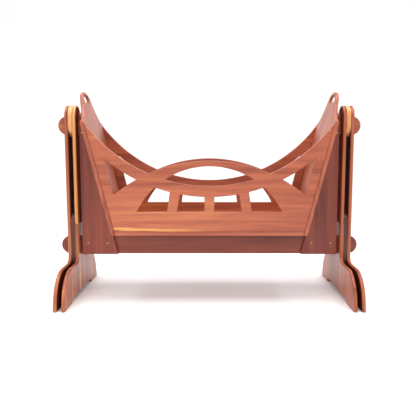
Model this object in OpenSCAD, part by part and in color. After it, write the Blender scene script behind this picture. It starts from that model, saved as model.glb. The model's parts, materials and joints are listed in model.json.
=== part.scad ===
// Swinging baby cradle: a trapezoid basket hung on two pivot pins between two end stands,
// which a low stretcher rail and four triangular wings hold together.
// X runs along the cradle, Y from front (-) to rear (+), Z up. The origin is on the floor
// at the middle of the cradle. All sizes are in millimetres.

/* [Boards] */
// Clear distance between the inner faces of the two stands
inner_span = 1212; // [1160:10:1500]
// Thickness of every solid board
board_t = 16; // [14:1:20]

/* [Stands] */
// Length of a foot, from toe to toe
foot_depth = 658; // [560:2:800]
// Height of a foot's flat top
foot_h = 157; // [140:1:180]
// How far a toe leans inwards from the floor to the foot's top
toe_lean = 29; // [10:1:45]
// Radius of a toe's upper corner
toe_r = 140; // [40:5:140]
// Radius of the hollow where the column meets the foot
column_fillet_r = 36; // [15:1:60]
// Width of the column
column_w = 106; // [90:2:130]
// Height of the stand
stand_h = 877; // [870:1:1000]
// Gap between the two boards of a stand, filled by the fillers
board_gap = 19; // [12:1:25]
// Height of the hollow under a foot
arch_h = 16; // [12:1:30]
// Length of each pad that a foot stands on
pad_len = 138; // [80:2:160]
// Radius of the hollow's upper corners
arch_r = 9; // [4:1:12]
// Height of the top filler's lowest point
top_filler_z = 735; // [700:1:738]
// Height of the column filler's highest point
column_filler_z = 389; // [360:1:480]
// Radius of the dowels through the feet
dowel_r = 5; // [4:0.5:6]
// Height of the lower row of dowels
dowel_low_z = 55; // [42:1:66]
// Height of the upper pair of dowels
dowel_high_z = 120; // [96:1:126]
// Distance of the outer lower dowels from the middle
dowel_low_y = 142; // [90:1:156]
// Distance of the upper dowels from the middle
dowel_high_y = 178; // [100:1:180]

/* [Fixed frame] */
// Height of a tenon, and of the rail and the pivot arms
tenon_h = 86; // [60:2:90]
// How far a tenon stands out of the stand's outer face
tenon_proud = 40; // [20:1:50]
// Play around a tenon in its mortise
mortise_play = 0.2; // [0.1:0.1:0.5]
// Height of the rail's lower edge
rail_z = 187; // [182:1:195]
// Height of the swing axis
pivot_z = 786; // [784:1:795]
// Gap between a wing and the stand beside it
wing_gap = 9; // [5:1:18]
// Gap between a wing's sloping edge and the basket's end board
wing_clearance = 33; // [28:1:45]
// Gap between a pivot arm and the basket's end board at the arm's top
arm_clearance = 7; // [4:1:12]
// Radius of the brass pins through the wings
wing_pin_r = 4; // [2.5:0.5:5]
// How far the wing pins stand proud of the wings
wing_pin_proud = 1; // [0.5:0.1:1.5]

/* [Basket] */
// Width of the basket over its side panels
basket_w = 420; // [360:10:500]
// Length of the basket's underside
basket_length = 852; // [800:2:880]
// Height of the basket's underside
basket_z = 306; // [302:1:312]
// Thickness of the bottom board
bottom_t = 19; // [17:0.5:25]
// Depth of the rebates along its long edges, which the side panels stand in
rebate = 3; // [2:0.5:5]
// Lean of the end boards from the vertical
end_lean = 14.3; // [10:0.1:15]
// How far the end boards and the bottom stand proud of the side panels
reveal = 4; // [1:0.5:7]
// Height of the end boards' shoulders
shoulder_z = 797; // [788:1:820]
// Height of the end boards' handles
handle_z = 935; // [925:1:980]
// Radius of a handle's rounded top
handle_r = 102; // [90:1:110]
// Width of a hand hole
hand_hole_w = 110; // [96:1:120]
// Height of a hand hole
hand_hole_h = 30; // [24:1:36]
// Wood left above a hand hole
grip_h = 20; // [18:1:30]

/* [Side panels] */
// Height of the central arch's crown
arch_crown_z = 631; // [600:1:648]
// Radius of the arch's upper edge
arch_outer_r = 654; // [600:2:720]
// Width of the arch's band at its crown
arch_band = 24; // [16:1:28]
// Radius of the arch's lower edge
arch_inner_r = 349; // [320:1:360]
// Height of the sagging rail's upper edge at the middle
sag_z = 522; // [512:1:540]
// Radius of the sagging rail's upper edge
sag_upper_r = 660; // [648:2:720]
// Width of the sagging rail's band at the middle
sag_band = 47; // [36:1:54]
// Radius of the sagging rail's lower edge
sag_lower_r = 698; // [672:2:744]
// Height of the sill under the lower windows
sill_z = 410; // [384:1:420]
// Width of the post left beside each end window
end_post_w = 41; // [34:1:60]
// Width of the posts between the lower windows
post_w = 43; // [30:1:52]
// Distance of the slanting posts from the middle
post_x = 162; // [132:1:168]
// Slant of those posts
post_slant = 9; // [0:1:15]

/* [Pivots] */
// Radius of a pivot pin
pin_r = 5; // [4:0.5:6]
// How deep a pivot pin sits in its arm
pin_depth = 72; // [50:2:84]
// Radial play of a pivot pin in its bush
pin_play = 0.05; // [0.02:0.01:0.1]
// Radius of a pivot bush
bush_r = 9; // [8:0.5:11]
// Radius of a bush's flange
bush_flange_r = 14; // [13:0.5:16]
// Thickness of a bush's flange
bush_flange_t = 2.5; // [1.5:0.5:3]
// Play between a bush and the arm, and at the end of the pin
bush_end_play = 1; // [0.5:0.1:2]
// Wood left between a bush and the end board's inner face
bush_skin = 4; // [3:0.5:5]

/* [Hidden] */

$fn = 64;
left = -1;
right = 1;
wood = "sienna";
wood_dark = "saddlebrown";
brass = "goldenrod";
cut_over = 1;

stand_x = inner_span / 2;
stand_t = 2 * board_t + board_gap;
foot_half = foot_depth / 2;
column_half = column_w / 2;
arch_half = foot_half - pad_len;
toe_angle = atan(toe_lean / foot_h);
// A toe's rounding ends above the hollow under the foot
toe_round = min(toe_r, foot_h - arch_h);
toe_z = foot_h - toe_round;
toe_y = foot_half - toe_z * tan(toe_angle) - toe_round / cos(toe_angle);

tenon_r = tenon_h / 2;
tenon_end_x = stand_x + stand_t + tenon_proud - tenon_r;
rail_axis_z = rail_z + tenon_r;

basket_half = basket_length / 2;
slope = tan(end_lean);
end_face_t = board_t / cos(end_lean);
panel_z = basket_z + bottom_t - rebate;
mattress_z = basket_z + bottom_t;
wide_half = basket_w / 2 + reveal;
v_shoulder = (shoulder_z - basket_z) / cos(end_lean);
v_handle = (handle_z - basket_z) / cos(end_lean);
v_handle_axis = v_handle - handle_r;
v_hole = v_handle - grip_h - hand_hole_h / 2;
hole_r = hand_hole_h / 2;

// Outer and inner face of an end board at a height
function end_outer_x(z) = basket_half + slope * (z - basket_z);
function end_inner_x(z) = end_outer_x(z) - end_face_t;
// Sloping edge of a wing at a height
function wing_inner_x(z) = end_outer_x(z) + wing_clearance;

wing_outer_x = stand_x - wing_gap;
wing_top_z = basket_z + (wing_outer_x - wing_clearance - basket_half) / slope;
arm_top_z = pivot_z + tenon_r;
arm_end_x = end_outer_x(arm_top_z) + arm_clearance;
bush_outer_x = arm_end_x - bush_end_play;
bush_inner_x = end_inner_x(pivot_z + bush_r) + bush_skin;

// The upper wing pin sits midway across the narrow top of the wing, above the arm's lower edge
wing_pin_edge = 10;
wing_pin_outer_margin = 29;
wing_pin_inner_margin = 36;
wing_pin_high_z = pivot_z - tenon_r + wing_pin_edge;
wing_pin_high_x = (wing_inner_x(wing_pin_high_z) + wing_outer_x) / 2;
wing_pin_low_z = rail_axis_z + wing_pin_edge;
wing_pin_positions = [
  [wing_pin_high_x, wing_pin_high_z],
  [wing_outer_x - wing_pin_outer_margin, wing_pin_low_z],
  [wing_inner_x(wing_pin_low_z) + wing_pin_inner_margin, wing_pin_low_z]
];
dowel_positions = [
  [0, dowel_low_z],
  [-dowel_low_y, dowel_low_z],
  [dowel_low_y, dowel_low_z],
  [-dowel_high_y, dowel_high_z],
  [dowel_high_y, dowel_high_z]
];

// Points along an arc, and along a cubic curve with end points p and s
function arc(cx, cy, r, from, to, n) =
  [for (i = [0:n]) let (a = from + (to - from) * i / n) [cx + r * cos(a), cy + r * sin(a)]];
function curve(p, q, r, s, n) =
  [for (i = [0:n]) let (t = i / n, u = 1 - t)
    u * u * u * p + 3 * u * u * t * q + 3 * u * t * t * r + t * t * t * s];

// A whole outline from its right half, whose points run from the bottom to the top
function whole(half) = concat(half,
  [for (i = [len(half) - 1:-1:0]) if (half[i][0] > 0.001) [-half[i][0], half[i][1]]]);

// Everything is drawn for the right-hand side, and mirrored for the left
module on_side(side) {
  if (side == left) mirror([1, 0, 0]) children();
  else children();
}

// A flat shape drawn in Y and Z, thickened along X from x
module board_across(x, t) {
  translate([x, 0, 0]) rotate([90, 0, 90]) linear_extrude(height = t) children();
}

// A flat shape drawn in X and Z, thickened along Y from y
module board_along(y, t) {
  translate([0, y + t, 0]) rotate([90, 0, 0]) linear_extrude(height = t) children();
}

module both_halves() {
  children();
  mirror([1, 0, 0]) children();
}

// ---- stands ----

module stand_outline() {
  polygon(whole(concat(
    arc(arch_half - arch_r, arch_h - arch_r, arch_r, 90, 0, 8),
    [[arch_half, 0], [foot_half, 0]],
    arc(toe_y, toe_z, toe_round, toe_angle, 90, 18),
    arc(column_half + column_fillet_r, foot_h + column_fillet_r, column_fillet_r, 270, 180, 10),
    arc(0, stand_h - column_half, column_half, 0, 90, 20)
  )));
}

module mortise(axis_z) {
  play = 2 * mortise_play;
  translate([stand_x - cut_over, -board_t / 2 - mortise_play, axis_z - tenon_r - mortise_play])
    cube([stand_t + 2 * cut_over, board_t + play, tenon_h + play]);
}

module dowel(at, r, from, length) {
  translate([from, at[0], at[1]]) rotate([0, 90, 0]) cylinder(r = r, h = length, $fn = 32);
}

module stand_cuts() {
  mortise(rail_axis_z);
  mortise(pivot_z);
  for (at = dowel_positions) dowel(at, dowel_r, stand_x - cut_over, stand_t + 2 * cut_over);
}

module stand_board(side, x) {
  on_side(side) color(wood) difference() {
    board_across(x, board_t) stand_outline();
    stand_cuts();
  }
}

module top_filler(side) {
  on_side(side) color(wood) difference() {
    board_across(stand_x + board_t, board_gap) union() {
      translate([0, stand_h - column_half]) circle(r = column_half);
      translate([0, top_filler_z + column_half]) circle(r = column_half);
      translate([-column_half, top_filler_z + column_half])
        square([column_w, stand_h - top_filler_z - column_w]);
    }
    stand_cuts();
  }
}

module column_filler(side) {
  on_side(side) color(wood_dark) difference() {
    board_across(stand_x + board_t, board_gap) union() {
      translate([0, column_filler_z - column_half]) circle(r = column_half);
      translate([-column_half, arch_h])
        square([column_w, column_filler_z - column_half - arch_h]);
    }
    stand_cuts();
  }
}

module left_inner_board() { stand_board(left, stand_x); }
module left_outer_board() { stand_board(left, stand_x + board_t + board_gap); }
module left_top_filler() { top_filler(left); }
module left_column_filler() { column_filler(left); }
module right_inner_board() { stand_board(right, stand_x); }
module right_outer_board() { stand_board(right, stand_x + board_t + board_gap); }
module right_top_filler() { top_filler(right); }
module right_column_filler() { column_filler(right); }

module foot_dowels() {
  color(wood_dark) for (side = [left, right])
    on_side(side) for (at = dowel_positions) dowel(at, dowel_r, stand_x, stand_t);
}

// ---- fixed frame between the stands ----

// The brass pins run right through the front wing, the board between and the rear wing
module wing_pin_set(proud) {
  length = 3 * board_t + 2 * proud;
  for (at = wing_pin_positions)
    translate([at[0], length / 2, at[1]]) rotate([90, 0, 0])
      cylinder(r = wing_pin_r, h = length, $fn = 32);
}

module stretcher_rail() {
  color(wood_dark) difference() {
    board_along(-board_t / 2, board_t) {
      translate([-tenon_end_x, rail_z]) square([2 * tenon_end_x, tenon_h]);
      for (side = [left, right]) translate([side * tenon_end_x, rail_axis_z]) circle(r = tenon_r);
    }
    for (side = [left, right]) on_side(side) wing_pin_set(cut_over);
  }
}

module pivot_arm(side) {
  on_side(side) color(wood) difference() {
    board_along(-board_t / 2, board_t) {
      translate([arm_end_x, pivot_z - tenon_r]) square([tenon_end_x - arm_end_x, tenon_h]);
      translate([tenon_end_x, pivot_z]) circle(r = tenon_r);
    }
    wing_pin_set(cut_over);
    dowel([0, pivot_z], pin_r, arm_end_x - cut_over, pin_depth + cut_over);
  }
}

module wing(side, y) {
  on_side(side) color(wood) difference() {
    board_along(y, board_t) polygon([
      [wing_inner_x(rail_z), rail_z],
      [wing_outer_x, rail_z],
      [wing_outer_x, wing_top_z]
    ]);
    wing_pin_set(cut_over);
  }
}

module left_pivot_arm() { pivot_arm(left); }
module right_pivot_arm() { pivot_arm(right); }
module left_front_wing() { wing(left, -1.5 * board_t); }
module left_rear_wing() { wing(left, 0.5 * board_t); }
module right_front_wing() { wing(right, -1.5 * board_t); }
module right_rear_wing() { wing(right, 0.5 * board_t); }

module wing_pins() {
  color(brass) for (side = [left, right]) on_side(side) wing_pin_set(wing_pin_proud);
}

// ---- pivots ----

module pivot_pin(side) {
  inner_end = bush_inner_x + bush_end_play;
  on_side(side) color(brass) dowel([0, pivot_z], pin_r, inner_end, arm_end_x + pin_depth - inner_end);
}

// A bush is let into the end board from outside, and its flange stands off the leaning face
module pivot_bush(side) {
  on_side(side) color(brass) difference() {
    union() {
      dowel([0, pivot_z], bush_r, bush_inner_x, bush_outer_x - bush_inner_x);
      dowel([0, pivot_z], bush_flange_r, bush_outer_x - bush_flange_t, bush_flange_t);
    }
    dowel([0, pivot_z], pin_r + pin_play, bush_inner_x - cut_over,
      bush_outer_x - bush_inner_x + 2 * cut_over);
  }
}

module left_pivot_pin() { pivot_pin(left); }
module right_pivot_pin() { pivot_pin(right); }
module left_pivot_bush() { pivot_bush(left); }
module right_pivot_bush() { pivot_bush(right); }

// ---- basket ----

// The outline runs up the board's edge, sweeps in over the shoulder and meets the handle's arc
module end_outline() {
  sweep_in = 0.73;
  sweep_end = 35;
  sweep_pull = 42;
  meet = [handle_r * cos(sweep_end), v_handle_axis + handle_r * sin(sweep_end)];
  polygon(whole(concat(
    [[wide_half, -board_t]],
    curve([wide_half, v_shoulder], [wide_half * sweep_in, v_shoulder],
      meet + sweep_pull * [sin(sweep_end), -cos(sweep_end)], meet, 20),
    arc(0, v_handle_axis, handle_r, sweep_end, 90, 16)
  )));
}

module hand_hole() {
  span = hand_hole_w / 2 - hole_r;
  for (end = [-span, span]) translate([end, v_hole]) circle(r = hole_r);
  translate([-span, v_hole - hole_r]) square([2 * span, hand_hole_h]);
}

module end_board(side) {
  on_side(side) color(wood) difference() {
    translate([basket_half, 0, basket_z]) rotate([0, end_lean, 0])
      board_across(-board_t, board_t) difference() {
        end_outline();
        hand_hole();
      }
    translate([0, -foot_depth, basket_z - foot_depth])
      cube([inner_span, 2 * foot_depth, foot_depth]);
    dowel([0, pivot_z], bush_r, bush_inner_x, bush_outer_x - bush_inner_x);
  }
}

// Circles of the arch and of the sagging rail, named by the edge that they draw
module arch_upper_edge() {
  translate([0, arch_crown_z - arch_outer_r]) circle(r = arch_outer_r, $fn = 180);
}
module arch_lower_edge() {
  translate([0, arch_crown_z - arch_band - arch_inner_r]) circle(r = arch_inner_r, $fn = 144);
}
module sag_upper_edge() {
  translate([0, sag_z + sag_upper_r]) circle(r = sag_upper_r, $fn = 180);
}
module sag_lower_edge() {
  translate([0, sag_z - sag_band + sag_lower_r]) circle(r = sag_lower_r, $fn = 180);
}

// The space between the end boards, narrowed by inset on both sides
module between_ends(low, high, inset) {
  polygon([
    [-end_inner_x(low) + inset, low],
    [end_inner_x(low) - inset, low],
    [end_inner_x(high) - inset, high],
    [-end_inner_x(high) + inset, high]
  ]);
}

module lens_window() {
  intersection() {
    arch_lower_edge();
    sag_upper_edge();
  }
}

module end_windows() {
  difference() {
    between_ends(sill_z, shoulder_z, end_post_w);
    arch_upper_edge();
    sag_lower_edge();
  }
}

module lower_windows() {
  difference() {
    intersection() {
      arch_lower_edge();
      between_ends(sill_z, arch_crown_z, end_post_w);
    }
    sag_lower_edge();
    translate([-post_w / 2, sill_z]) square([post_w, arch_crown_z - sill_z]);
    both_halves() translate([post_x, sill_z]) rotate(post_slant)
      translate([-post_w / 2, -post_w]) square([post_w, arch_crown_z - sill_z]);
  }
}

module side_panel(y) {
  color(wood) board_along(y, board_t) difference() {
    between_ends(panel_z, shoulder_z, 0);
    difference() {
      sag_upper_edge();
      arch_upper_edge();
    }
    lens_window();
    end_windows();
    lower_windows();
  }
}

module front_panel() { side_panel(-basket_w / 2); }
module rear_panel() { side_panel(basket_w / 2 - board_t); }
module left_end_board() { end_board(left); }
module right_end_board() { end_board(right); }

// The field between the side panels stands above the rebates
module bottom_board() {
  field_half = basket_w / 2 - board_t;
  color(wood) union() {
    board_along(-wide_half, 2 * wide_half) between_ends(basket_z, panel_z, 0);
    board_along(-field_half, 2 * field_half) between_ends(basket_z, mattress_z, 0);
  }
}

left_inner_board();
left_outer_board();
left_top_filler();
left_column_filler();
right_inner_board();
right_outer_board();
right_top_filler();
right_column_filler();
stretcher_rail();
left_pivot_arm();
right_pivot_arm();
left_front_wing();
left_rear_wing();
right_front_wing();
right_rear_wing();
wing_pins();
foot_dowels();
left_pivot_pin();
right_pivot_pin();
left_pivot_bush();
right_pivot_bush();
front_panel();
rear_panel();
left_end_board();
right_end_board();
bottom_board();
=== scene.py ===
"""Swinging baby cradle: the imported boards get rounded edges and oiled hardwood, the pins domed ends."""
import json
import math
import random

import bmesh
import bpy
from mathutils import Matrix, Vector

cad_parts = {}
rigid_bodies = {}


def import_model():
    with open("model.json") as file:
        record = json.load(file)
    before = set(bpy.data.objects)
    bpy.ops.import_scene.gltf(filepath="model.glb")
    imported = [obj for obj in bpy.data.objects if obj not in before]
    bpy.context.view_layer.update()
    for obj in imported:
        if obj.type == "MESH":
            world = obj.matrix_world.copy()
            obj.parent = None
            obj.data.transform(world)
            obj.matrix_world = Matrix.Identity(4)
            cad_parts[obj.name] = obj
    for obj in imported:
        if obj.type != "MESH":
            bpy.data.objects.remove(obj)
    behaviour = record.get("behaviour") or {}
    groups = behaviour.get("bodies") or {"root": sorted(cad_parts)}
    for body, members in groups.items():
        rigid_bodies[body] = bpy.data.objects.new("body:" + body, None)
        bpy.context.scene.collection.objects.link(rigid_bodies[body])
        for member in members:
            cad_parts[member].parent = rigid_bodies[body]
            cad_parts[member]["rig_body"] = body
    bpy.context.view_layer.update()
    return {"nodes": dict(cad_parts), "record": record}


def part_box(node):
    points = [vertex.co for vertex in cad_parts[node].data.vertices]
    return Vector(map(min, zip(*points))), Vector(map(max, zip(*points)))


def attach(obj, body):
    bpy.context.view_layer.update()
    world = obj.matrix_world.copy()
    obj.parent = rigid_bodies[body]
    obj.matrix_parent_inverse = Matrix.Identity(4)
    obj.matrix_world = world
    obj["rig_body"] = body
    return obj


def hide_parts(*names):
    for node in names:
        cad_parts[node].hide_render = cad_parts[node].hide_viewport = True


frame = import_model()
NODES = frame["nodes"]
RECORD = frame["record"]
SLOT_OF = {s["node"]: s["material_slot"] for s in RECORD["subparts"]}

# ---- camera: the viewing point of a person sitting in front of the cradle ----

FRAME_PX = 416
FOCAL_PX = 540.0  # focal length in pixels of that frame
SENSOR_MM = 36.0
EYE_DISTANCE = 2.522  # from the cradle's middle
EYE_HEIGHT = 0.702
EYE_PITCH = math.radians(6.76)  # downwards
CENTRE_SHIFT_PX = 1.4  # the cradle stands this far right of the frame's middle


def make_camera():
    data = bpy.data.cameras.new("camera")
    data.sensor_width = SENSOR_MM
    data.lens = FOCAL_PX / FRAME_PX * SENSOR_MM
    data.shift_x = -CENTRE_SHIFT_PX / FRAME_PX
    data.clip_end = 50.0
    camera = bpy.data.objects.new("camera", data)
    camera.location = (0.0, -EYE_DISTANCE, EYE_HEIGHT)
    camera.rotation_euler = (math.radians(90) - EYE_PITCH, 0.0, 0.0)
    bpy.context.scene.collection.objects.link(camera)
    bpy.context.scene.camera = camera


# ---- materials ----


class Graph:
    """A short way to write a node tree."""

    def __init__(self, name):
        self.material = bpy.data.materials.new(name)
        self.material.use_nodes = True
        self.tree = self.material.node_tree
        self.shader = self.tree.nodes["Principled BSDF"]

    def add(self, kind, **settings):
        made = self.tree.nodes.new(kind)
        for key, value in settings.items():
            setattr(made, key, value)
        return made

    def link(self, source, target):
        self.tree.links.new(source, target)

    def math(self, operation, a, b=None):
        made = self.add("ShaderNodeMath", operation=operation)
        for socket, item in zip(made.inputs, (a, b)):
            if item is None:
                continue
            if isinstance(item, (int, float)):
                socket.default_value = item
            else:
                self.link(item, socket)
        return made.outputs[0]

    def ramp(self, factor, stops):
        made = self.add("ShaderNodeValToRGB")
        elements = made.color_ramp.elements
        while len(elements) < len(stops):
            elements.new(0.5)
        for element, (position, colour) in zip(elements, stops):
            element.position = position
            element.color = (*colour, 1.0)
        self.link(factor, made.inputs[0])
        return made.outputs[0]

    def mix(self, factor, a, b):
        made = self.add("ShaderNodeMix", data_type="RGBA")
        for socket, item in ((made.inputs[0], factor), (made.inputs[6], a), (made.inputs[7], b)):
            if isinstance(item, tuple):
                socket.default_value = (*item, 1.0)
            else:
                self.link(item, socket)
        return made.outputs[2]

    def noise(self, vector, scale, detail=3.0, roughness=0.5, distortion=0.0):
        made = self.add("ShaderNodeTexNoise")
        self.link(vector, made.inputs["Vector"])
        made.inputs["Scale"].default_value = scale
        made.inputs["Detail"].default_value = detail
        made.inputs["Roughness"].default_value = roughness
        made.inputs["Distortion"].default_value = distortion
        return made.outputs["Fac"]

    def scaled(self, vector, scale, location=(0.0, 0.0, 0.0)):
        made = self.add("ShaderNodeMapping")
        made.inputs["Scale"].default_value = scale
        made.inputs["Location"].default_value = location
        self.link(vector, made.inputs["Vector"])
        return made.outputs[0]


def linear(r, g, b):
    """An sRGB colour, 0 to 255, as linear values."""
    return tuple((c / 255) ** 2.2 for c in (r, g, b))


EDGE_SAP = linear(236, 164, 92)
# dark line, heartwood, light heartwood, pale streak
PALETTES = {
    "basket_wood": (linear(112, 50, 36), linear(150, 76, 54), linear(176, 96, 68), linear(214, 138, 80)),
    "stand_wood": (linear(100, 46, 32), linear(146, 74, 50), linear(172, 94, 62), linear(222, 148, 82)),
    # frame_wood also colours the inner boards' inner faces darker up the column: painted shade
    "frame_wood": (linear(92, 38, 28), linear(124, 56, 40), linear(144, 68, 48), linear(168, 88, 56)),
    # a paler sapwood colour for one board's front edge: a painted highlight
    "sapwood": (linear(176, 104, 60), linear(212, 142, 86), linear(232, 166, 104), linear(244, 188, 124)),
    # dark wood of the dowels, and painted shade on the faces inside the stands' gaps
    "dark_wood": (linear(44, 22, 16), linear(74, 36, 26), linear(92, 46, 34), linear(120, 64, 42)),
}


# how much finer each layer of the wood is along and across the grain
FIGURE_STRETCH = (1.0, 9.0, 9.0)
LINE_STRETCH = (0.9, 42.0, 42.0)
FIBRE_STRETCH = (6.0, 150.0, 150.0)
BAND_STRETCH = (0.8, 15.0, 15.0)
PORE_STRETCH = (40.0, 800.0, 800.0)
# how much each layer counts in the wood's tone
FIGURE_SHARE, LINE_SHARE, FIBRE_SHARE = 0.46, 0.34, 0.20
TONE_STOPS = (0.34, 0.46, 0.58, 0.80)
PORE_DARKNESS = 0.35
STREAK_WANDER = 0.05
STREAK_STRENGTH = 0.9
GRAIN_AXES = {"x": (0, 1, 2), "z": (2, 1, 0)}
# (lowest roughness, highest roughness, specular level, coat)
OILED = (0.34, 0.50, 0.4, 0.15)
MATTE = (0.80, 0.95, 0.05, 0.0)
BLACK, WHITE = (0.0, 0.0, 0.0), (1.0, 1.0, 1.0)


def roughness(g, pattern, low, high):
    spread = g.add("ShaderNodeMapRange")
    g.link(pattern, spread.inputs["Value"])
    spread.inputs["To Min"].default_value = low
    spread.inputs["To Max"].default_value = high
    g.link(spread.outputs[0], g.shader.inputs["Roughness"])


def relief(g, pattern, strength, distance):
    bump = g.add("ShaderNodeBump")
    bump.inputs["Strength"].default_value = strength
    bump.inputs["Distance"].default_value = distance
    g.link(pattern, bump.inputs["Height"])
    g.link(bump.outputs[0], g.shader.inputs["Normal"])


def pale_streak(g, colour, figure, split, height, width, start, end):
    """A pale streak along X at that height, which fades out from start to end."""
    wander = g.math("MULTIPLY", g.math("SUBTRACT", figure, 0.5), STREAK_WANDER)
    rise = g.math("SUBTRACT", g.math("ADD", split.outputs[2], wander), height)
    across = g.math("SUBTRACT", 1.0, g.math("DIVIDE", g.math("ABSOLUTE", rise), width))
    run = g.add("ShaderNodeMapRange", interpolation_type="SMOOTHSTEP")
    g.link(split.outputs[0], run.inputs["Value"])
    run.inputs["From Min"].default_value = end
    run.inputs["From Max"].default_value = start
    mask = g.add("ShaderNodeClamp")
    g.link(g.math("MULTIPLY", across, run.outputs[0]), mask.inputs[0])
    return g.mix(g.math("MULTIPLY", mask.outputs[0], STREAK_STRENGTH), colour, EDGE_SAP)


def wood(name, slot, grain, offset, streak=0.5, edge_streak=None, finish=OILED):
    """Hardwood with its grain along one axis: slow figure, growth lines, fibre, pores and pale streaks."""
    palette = PALETTES[slot]
    dark, sap = palette[0], palette[-1]
    g = Graph(name)
    split = g.add("ShaderNodeSeparateXYZ")
    g.link(g.add("ShaderNodeTexCoord").outputs["Object"], split.inputs[0])
    join = g.add("ShaderNodeCombineXYZ")
    for target, source in enumerate(GRAIN_AXES[grain]):
        g.link(split.outputs[source], join.inputs[target])
    along = g.scaled(join.outputs[0], (1.0, 1.0, 1.0), offset)

    figure = g.noise(g.scaled(along, FIGURE_STRETCH), 1.0, 3.0, 0.55, 0.8)
    lines = g.noise(g.scaled(along, LINE_STRETCH, (0.7, 2.3, 5.1)), 1.0, 3.0, 0.55, 0.5)
    fibre = g.noise(g.scaled(along, FIBRE_STRETCH), 1.0, 4.0, 0.62)
    tone = g.math("ADD", g.math("MULTIPLY", lines, LINE_SHARE), g.math("MULTIPLY", fibre, FIBRE_SHARE))
    tone = g.math("ADD", tone, g.math("MULTIPLY", figure, FIGURE_SHARE))
    colour = g.ramp(tone, list(zip(TONE_STOPS, palette)))

    band = g.noise(g.scaled(along, BAND_STRETCH, (3.1, 1.7, 0.4)), 1.0, 2.5, 0.5)
    pale = g.ramp(band, [(0.58, BLACK), (0.72, WHITE)])
    colour = g.mix(g.math("MULTIPLY", pale, streak), colour, sap)
    if edge_streak:
        colour = pale_streak(g, colour, figure, split, *edge_streak)
    dash = g.noise(g.scaled(along, PORE_STRETCH), 1.0, 2.0, 0.6)
    pores = g.ramp(dash, [(0.30, WHITE), (0.42, BLACK)])
    colour = g.mix(g.math("MULTIPLY", pores, PORE_DARKNESS), colour, dark)
    g.link(colour, g.shader.inputs["Base Color"])

    smoothest, roughest, specular, coat = finish
    roughness(g, fibre, smoothest, roughest)
    g.shader.inputs["Specular IOR Level"].default_value = specular
    g.shader.inputs["Coat Weight"].default_value = coat
    g.shader.inputs["Coat Roughness"].default_value = 0.20
    relief(g, g.math("SUBTRACT", fibre, g.math("MULTIPLY", pores, 0.8)), 0.2, 0.0005)
    return g.material


def brass():
    g = Graph("satin_brass")
    place = g.add("ShaderNodeTexCoord").outputs["Object"]
    cloud = g.noise(place, 220.0, 4.0, 0.6)
    stops = [(0.35, linear(168, 122, 70)), (0.65, linear(222, 182, 118))]
    g.link(g.ramp(cloud, stops), g.shader.inputs["Base Color"])
    g.shader.inputs["Metallic"].default_value = 1.0
    roughness(g, cloud, 0.24, 0.42)
    relief(g, g.noise(place, 900.0, 2.0), 0.15, 0.0002)
    return g.material


# ---- meshes ----

SHARP = math.radians(32)  # an edge that bends more than this is rounded
FLAT = math.radians(0.4)  # facets that bend less than this are one face
SMOOTH = math.radians(50)  # an edge that bends less than this is shaded smooth
WELD = 2e-6
TURNED_STEPS = 32
DOME_STEPS = 5
DOME_NECK = 0.0004


def new_object(name, mesh):
    made = bpy.data.objects.new(name, mesh)
    bpy.context.scene.collection.objects.link(made)
    return made


def finish_mesh(name, work, materials):
    mesh = bpy.data.meshes.new(name)
    work.to_mesh(mesh)
    work.free()
    for material in materials:
        mesh.materials.append(material)
    mesh.shade_smooth()
    mesh.set_sharp_from_angle(angle=SMOOTH)
    made = new_object(name, mesh)
    weighted = made.modifiers.new("even_faces", "WEIGHTED_NORMAL")
    weighted.keep_sharp = True
    return made


def stand_in(node, name, work, materials):
    """Makes the mesh a piece that stands for the CAD node, on its body and in its material slot."""
    piece = finish_mesh(name, work, materials)
    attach(piece, NODES[node]["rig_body"])
    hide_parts(node)


def rounded(node, radius, materials, segments=3, keep_sharp=None, cuts=(), material_of=None):
    """The CAD node's own mesh with its facets joined into whole faces and its sharp edges rounded.

    keep_sharp tells which edges stay as they are. cuts are heights where an edge may change.
    material_of tells which of the materials a face has."""
    work = bmesh.new()
    work.from_mesh(NODES[node].data)
    bmesh.ops.remove_doubles(work, verts=work.verts[:], dist=WELD)
    bmesh.ops.dissolve_limit(work, angle_limit=FLAT, verts=work.verts[:], edges=work.edges[:])
    for height in cuts:
        parts = work.verts[:] + work.edges[:] + work.faces[:]
        bmesh.ops.bisect_plane(work, geom=parts, dist=WELD, plane_co=(0, 0, height), plane_no=(0, 0, 1))
    edges = []
    for edge in work.edges:
        if len(edge.link_faces) != 2 or edge.calc_face_angle(0.0) < SHARP:
            continue
        if keep_sharp and keep_sharp(edge):
            continue
        edges.append(edge)
    bmesh.ops.bevel(
        work, geom=edges, offset=radius, offset_type="OFFSET", segments=segments, profile=0.5,
        affect="EDGES", clamp_overlap=False,
    )
    bmesh.ops.recalc_face_normals(work, faces=work.faces[:])
    if material_of:
        for face in work.faces:
            face.material_index = material_of(face)
    stand_in(node, node + "_rounded", work, materials)


def lathe(work, origin, axis, profile):
    """Adds a closed turned solid to work. profile is pairs of (distance along the axis, radius)."""
    steps = TURNED_STEPS
    turn = Vector(axis).to_track_quat("Z", "Y").to_matrix().to_4x4()
    place = Matrix.Translation(Vector(origin)) @ turn
    rings = []
    for height, radius in profile:
        if radius < 1e-7:
            rings.append([work.verts.new(place @ Vector((0.0, 0.0, height)))])
            continue
        ring = []
        for i in range(steps):
            a = 2 * math.pi * i / steps
            point = Vector((radius * math.cos(a), radius * math.sin(a), height))
            ring.append(work.verts.new(place @ point))
        rings.append(ring)
    for low, high in zip(rings, rings[1:]):
        for i in range(steps):
            j = (i + 1) % steps
            if len(low) == 1:
                work.faces.new((low[0], high[j], high[i]))
            elif len(high) == 1:
                work.faces.new((low[i], low[j], high[0]))
            else:
                work.faces.new((low[i], low[j], high[j], high[i]))


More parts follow.
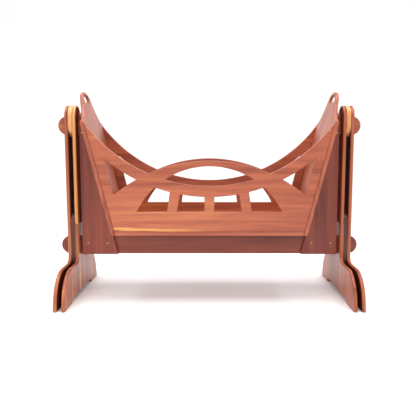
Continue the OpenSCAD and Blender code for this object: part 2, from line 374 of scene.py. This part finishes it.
def islands(node):
    """The lowest and highest corner of each separate solid in a CAD node."""
    work = bmesh.new()
    work.from_mesh(NODES[node].data)
    bmesh.ops.remove_doubles(work, verts=work.verts[:], dist=WELD)
    found, seen = [], set()
    for start in work.verts:
        if start in seen:
            continue
        stack, group = [start], []
        seen.add(start)
        while stack:
            vert = stack.pop()
            group.append(vert.co.copy())
            for edge in vert.link_edges:
                other = edge.other_vert(vert)
                if other not in seen:
                    seen.add(other)
                    stack.append(other)
        found.append((
            Vector(map(min, zip(*group))),
            Vector(map(max, zip(*group))),
        ))
    work.free()
    return found


def domed_profile(length, radius, dome):
    """Both ends of a pin swell into a low dome."""
    body = [(0.0, 0.0)]
    for i in range(1, DOME_STEPS + 1):
        a = math.radians(90) * i / DOME_STEPS
        body.append((dome * (1 - math.cos(a)), radius * math.sin(a)))
    body.append((dome + DOME_NECK, radius))
    return body + [(length - d, r) for d, r in reversed(body)]


def pins(node, axis_index, dome, material):
    """One piece of turned pins in the places of the CAD node's solids."""
    work = bmesh.new()
    axis = [0.0, 0.0, 0.0]
    axis[axis_index] = 1.0
    for low, high in islands(node):
        origin = (low + high) / 2
        origin[axis_index] = low[axis_index]
        length = high[axis_index] - low[axis_index]
        radius = (high[2] - low[2]) / 2
        lathe(work, origin, axis, domed_profile(length, radius, dome))
    bmesh.ops.recalc_face_normals(work, faces=work.faces[:])
    stand_in(node, node + "_turned", work, [material])


# ---- the cradle ----

# rounding of the edges
EDGE_STAND = 0.0055
EDGE_END = 0.0045
EDGE_BASKET = 0.0028
EDGE_TENON = 0.0040
EDGE_WING = 0.0020
EDGE_FILLER = 0.0010
EDGE_PIN = 0.0012
EDGE_BUSH = 0.0008
# how far the ends of the pins swell
WING_PIN_DOME = 0.0010
DOWEL_DOME = 0.0003
HOLE_MARGIN = 0.0015  # how near an edge or a face counts as being at a hole or a side
COLUMN_HALF = 0.5 * (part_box("left_top_filler")[1][1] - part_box("left_top_filler")[0][1])
FOOT_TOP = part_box("left_front_wing")[0][2]  # the fillers' flush edges start about as high as the wings
# the front panel's pale streak: its height over the panel's lower edge, its width, where it fades
STREAK_RISE, STREAK_WIDTH, STREAK_FADE, STREAK_END = 0.012, 0.011, 0.25, 0.62

# this board's front-facing edge faces get a paler sapwood colour: a painted highlight where light falls on
# the edge
HIGHLIGHT_EDGE_BOARD = "left_inner_board"
# node: (edge rounding, direction of the grain, share of pale streaks)
BOARDS = {
    "inner_board": (EDGE_STAND, "z", 0.75),
    "outer_board": (EDGE_STAND, "z", 0.35),
    "top_filler": (EDGE_FILLER, "z", 0.9),
    "column_filler": (EDGE_FILLER, "z", 0.1),
    "pivot_arm": (EDGE_TENON, "x", 0.3),
    "front_wing": (EDGE_WING, "z", 0.15),
    "rear_wing": (EDGE_WING, "z", 0.15),
    "end_board": (EDGE_END, "z", 0.3),
}
SINGLE_BOARDS = {
    "stretcher_rail": (EDGE_TENON, "x", 0.3),
    "front_panel": (EDGE_BASKET, "x", 0.6),
    "rear_panel": (EDGE_BASKET, "x", 0.6),
    "bottom_board": (EDGE_END, "x", 0.5),
}


def middle(edge):
    return (edge.verts[0].co + edge.verts[1].co) / 2


def in_hole(point, dowels):
    """Whether a point of a stand lies on the rim of a mortise or of a dowel's hole."""
    low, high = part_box("stretcher_rail")
    arm_low, arm_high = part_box("left_pivot_arm")
    if abs(point.y) < high[1] + HOLE_MARGIN:
        for bottom, top in ((low[2], high[2]), (arm_low[2], arm_high[2])):
            if bottom - HOLE_MARGIN < point.z < top + HOLE_MARGIN:
                return True
    return any(math.hypot(point.y - y, point.z - z) < radius + HOLE_MARGIN for y, z, radius in dowels)


def glue_heights(side):
    """Where the fillers' straight edges begin and end, up a stand's column."""
    top_filler_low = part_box(side + "_top_filler")[0][2]
    column_filler_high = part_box(side + "_column_filler")[1][2]
    return top_filler_low + COLUMN_HALF, column_filler_high - COLUMN_HALF


def stand_edges(side):
    """The glued joints with the fillers stay flush, and so do the rims of the holes."""
    dowels = [((a[1] + b[1]) / 2, (a[2] + b[2]) / 2, (b[2] - a[2]) / 2) for a, b in islands("foot_dowels")]
    low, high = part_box(side + "_top_filler")
    top_glue, column_glue = glue_heights(side)

    def keep(edge):
        point = middle(edge)
        if in_hole(point, dowels):
            return True
        if min(abs(point.x - low[0]), abs(point.x - high[0])) > HOLE_MARGIN:
            return False
        on_column = abs(point.y) < COLUMN_HALF + HOLE_MARGIN
        return on_column and (point.z > top_glue or FOOT_TOP < point.z < column_glue)

    return keep


def stand_faces(side, node):
    """Which material a face has: 0 oiled, 1 painted shade inside the stand's gap (dark, matte), 2 painted
    shade on the inner face (darker, matte), 3 a painted highlight on the front edge (paler sapwood
    colour).
    """
    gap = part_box(side + "_top_filler")
    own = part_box(node)
    gap_side = min((gap[0][0], gap[1][0]), key=lambda x: min(abs(x - own[0][0]), abs(x - own[1][0])))
    column_glue = glue_heights(side)[1]

    def material_of(face):
        place = face.calc_center_median()
        flat = abs(face.normal.x) > 0.99
        # painted shade: the faces inside the gap between the boards get a dark, matte wood
        if flat and abs(place.x - gap_side) < HOLE_MARGIN:
            return 1
        # painted shade: the inner board's inner face up the column gets a darker, matte wood
        if flat and place.z > column_glue and "inner" in node:
            return 2
        # painted highlight: the front-facing faces of one board's edge get a paler sapwood colour
        if node == HIGHLIGHT_EDGE_BOARD and not flat and face.normal.y < -0.2 and place.z > column_glue:
            return 3
        return 0

    return material_of


def make_stand_board(node, radius, grain, offset, oiled):
    side = node.split("_")[0]
    # painted shade in the gap between the boards: dark, matte wood
    gap_shade = wood(node + "_gap_shade_wood", "dark_wood", grain, offset, 0.0, finish=MATTE)
    # painted shade on the inner face: the darker frame wood, matte
    matte_shade = wood(node + "_matte_shade_wood", "frame_wood", grain, offset, 0.0, finish=MATTE)
    materials = [oiled, gap_shade, matte_shade]
    # painted highlight on the front edge: a paler sapwood colour
    if node == HIGHLIGHT_EDGE_BOARD:
        materials.append(wood(node + "_highlight_sapwood", "sapwood", grain, offset, 0.3))
    rounded(
        node, radius, materials, keep_sharp=stand_edges(side), cuts=glue_heights(side),
        material_of=stand_faces(side, node),
    )


def make_boards():
    draw = random.Random(7)
    rows = [(f"{side}_{name}", row) for side in ("left", "right") for name, row in BOARDS.items()]
    rows += list(SINGLE_BOARDS.items())
    for node, (radius, grain, streak) in rows:
        offset = (draw.uniform(-3, 3), draw.uniform(-3, 3), draw.uniform(-3, 3))
        edge_streak = None
        if node == "front_panel":
            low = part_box(node)[0]
            edge_streak = (low[2] + STREAK_RISE, STREAK_WIDTH, low[0] + STREAK_FADE, low[0] + STREAK_END)
        material = wood(node + "_wood", SLOT_OF[node], grain, offset, streak, edge_streak)
        if node.endswith(("inner_board", "outer_board")):
            make_stand_board(node, radius, grain, offset, material)
        else:
            rounded(node, radius, [material])


def make_metal_and_dowels():
    metal = brass()
    pins("wing_pins", 1, WING_PIN_DOME, metal)
    for side in ("left", "right"):
        rounded(side + "_pivot_pin", EDGE_PIN, [metal])
        rounded(side + "_pivot_bush", EDGE_BUSH, [metal], segments=2)
    pins("foot_dowels", 0, DOWEL_DOME, wood("dowel_wood", "dark_wood", "x", (0.4, 0.02, 0.05), 0.0))


# ---- studio ----

FLOOR_HALF = 6.0
SWEEP_Y = 3.2
SWEEP_R = 1.6
WALL_TOP = 6.0
SWEEP_STEPS = 12
FLOOR_TONES = ((0.90, 0.90, 0.90), (0.93, 0.93, 0.93))
WORLD_LIGHT = 0.80
LIGHT_AIM = (0.0, 0.0, 0.5)
# name: (place, size, power)
LIGHTS = {
    "overhead": ((0.0, -0.3, 3.8), (3.6, 2.8), 165),
    "front_left": ((-2.6, -3.6, 2.2), (2.2, 2.2), 36),
    "front_right": ((2.9, -3.6, 2.0), (2.2, 2.2), 26),
}


def make_floor():
    """A pale floor that sweeps up into a backdrop."""
    work = bmesh.new()
    profile = [(-FLOOR_HALF, 0.0), (SWEEP_Y, 0.0)]
    for i in range(1, SWEEP_STEPS + 1):
        a = math.radians(90) * i / SWEEP_STEPS
        profile.append((SWEEP_Y + SWEEP_R * math.sin(a), SWEEP_R * (1 - math.cos(a))))
    profile.append((SWEEP_Y + SWEEP_R, WALL_TOP))
    rows = [[work.verts.new((x, y, z)) for x in (-FLOOR_HALF, FLOOR_HALF)] for y, z in profile]
    for low, high in zip(rows, rows[1:]):
        work.faces.new((low[0], low[1], high[1], high[0]))
    mesh = bpy.data.meshes.new("floor")
    work.to_mesh(mesh)
    work.free()
    mesh.shade_smooth()
    g = Graph("pale_floor")
    place = g.add("ShaderNodeTexCoord").outputs["Object"]
    stops = list(zip((0.3, 0.7), FLOOR_TONES))
    g.link(g.ramp(g.noise(place, 3.0), stops), g.shader.inputs["Base Color"])
    g.shader.inputs["Roughness"].default_value = 0.75
    mesh.materials.append(g.material)
    new_object("floor", mesh)


def area_light(name, place, size, power):
    data = bpy.data.lights.new(name, "AREA")
    data.shape = "RECTANGLE"
    data.size, data.size_y = size
    data.energy = power
    light = bpy.data.objects.new(name, data)
    light.location = place
    light.rotation_euler = (Vector(LIGHT_AIM) - Vector(place)).to_track_quat("-Z", "Y").to_euler()
    bpy.context.scene.collection.objects.link(light)


def make_studio():
    make_floor()
    world = bpy.data.worlds.new("studio")
    world.use_nodes = True
    background = world.node_tree.nodes["Background"]
    background.inputs[0].default_value = (1.0, 1.0, 1.0, 1.0)
    background.inputs[1].default_value = WORLD_LIGHT
    bpy.context.scene.world = world
    for name, row in LIGHTS.items():
        area_light(name, *row)
    bpy.context.scene.view_settings.view_transform = "Standard"
    bpy.context.scene.view_settings.look = "None"


make_camera()
make_boards()
make_metal_and_dowels()
make_studio()
